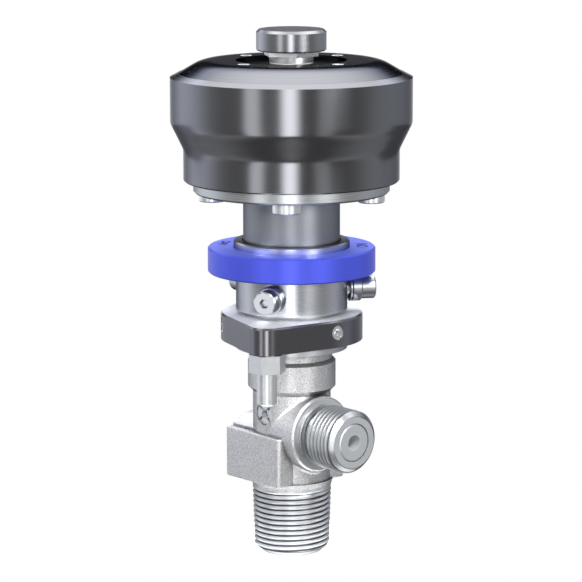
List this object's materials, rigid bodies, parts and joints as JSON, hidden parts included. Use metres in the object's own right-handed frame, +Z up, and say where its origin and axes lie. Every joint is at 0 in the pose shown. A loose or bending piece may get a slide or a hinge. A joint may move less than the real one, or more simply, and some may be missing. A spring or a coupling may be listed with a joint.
{
  "type": "gas cylinder valve",
  "caption": "Diaphragm valve for a gas cylinder: forged body with tapered inlet thread and side outlet thread, blue turning ring and a dark air actuator drum on top.",
  "frame": {"origin": "centre of the end face of the tapered inlet thread, the valve's lowest face", "axes": "+Z up from the inlet thread to the air cap, -Y along the outlet thread towards its end"},
  "size_m": [0.0828, 0.0828, 0.1819],
  "materials": {
    "forged_stainless": "shot-blasted forging with turned threads",
    "machined_stainless": "turned, fine machining marks",
    "polished_steel": "polished",
    "plated_steel": "bright zinc plated",
    "black_anodised": "dark anodised, turned",
    "cap_anodised": "grey anodised, turned",
    "blue_anodised": "blue anodised, satin",
    "plain_aluminium": "turned",
    "spring_steel": "oiled spring steel",
    "seal_rubber": "moulded",
    "seat_plastic": "machined soft seat material"
  },
  "bodies": {
    "valve": {"valve_body": "forged_stainless", "outlet_insert": "machined_stainless", "relief_plug": "machined_stainless", "seat_ring": "seat_plastic", "diaphragm": "spring_steel", "bonnet_nut": "machined_stainless", "lock_plate": "black_anodised", "plate_screws": "plated_steel", "stop_pin": "plated_steel", "lock_sleeve": "polished_steel", "roller_screws": "polished_steel", "actuator_neck": "machined_stainless", "spindle_seal": "seal_rubber", "base_plate": "black_anodised", "base_seal": "seal_rubber", "base_screws": "plated_steel", "drum_housing": "black_anodised", "top_cover": "black_anodised", "inlet_plate": "black_anodised", "cover_screws": "plated_steel", "cover_seal": "seal_rubber", "feed_seal": "seal_rubber", "air_fitting": "machined_stainless", "fitting_seal": "seat_plastic", "closing_springs": "spring_steel"},
    "stem": {"pressure_pad": "machined_stainless", "spindle": "machined_stainless", "piston": "plain_aluminium", "piston_seal": "seal_rubber", "piston_nut": "machined_stainless"},
    "lock_ring": {"lock_ring": "blue_anodised"},
    "air_cap": {"air_cap": "cap_anodised"},
    "roller_left": {"roller_left": "polished_steel"},
    "roller_right": {"roller_right": "polished_steel"},
    "roller_rear": {"roller_rear": "polished_steel"}
  },
  "joints": [
    {"name": "stem_lift", "type": "slide", "parent": "valve", "child": "stem", "axis": [0, 0, 1], "range_m": [0, 0.0015], "stiffness_N_per_m": 3000, "springref_m": -0.003, "deforming": ["closing_springs"]},
    {"name": "ring_turn", "type": "hinge", "parent": "valve", "child": "lock_ring", "pos_m": [0, 0, 0.103], "axis": [0, 0, 1], "range_deg": [0, 60]},
    {"name": "cap_lift", "type": "slide", "parent": "valve", "child": "air_cap", "axis": [0, 0, 1], "range_m": [0, 0.012]},
    {"name": "roller_left_spin", "type": "hinge", "parent": "valve", "child": "roller_left", "pos_m": [-0.01889, -0.01157, 0.09205], "axis": [-0.8526, -0.5225, 0], "continuous": true},
    {"name": "roller_right_spin", "type": "hinge", "parent": "valve", "child": "roller_right", "pos_m": [0.01947, -0.01057, 0.09205], "axis": [0.8788, -0.4772, 0], "continuous": true},
    {"name": "roller_rear_spin", "type": "hinge", "parent": "valve", "child": "roller_rear", "pos_m": [-0.00058, 0.02214, 0.09205], "axis": [-0.0262, 0.9997, 0], "continuous": true}
  ]
}
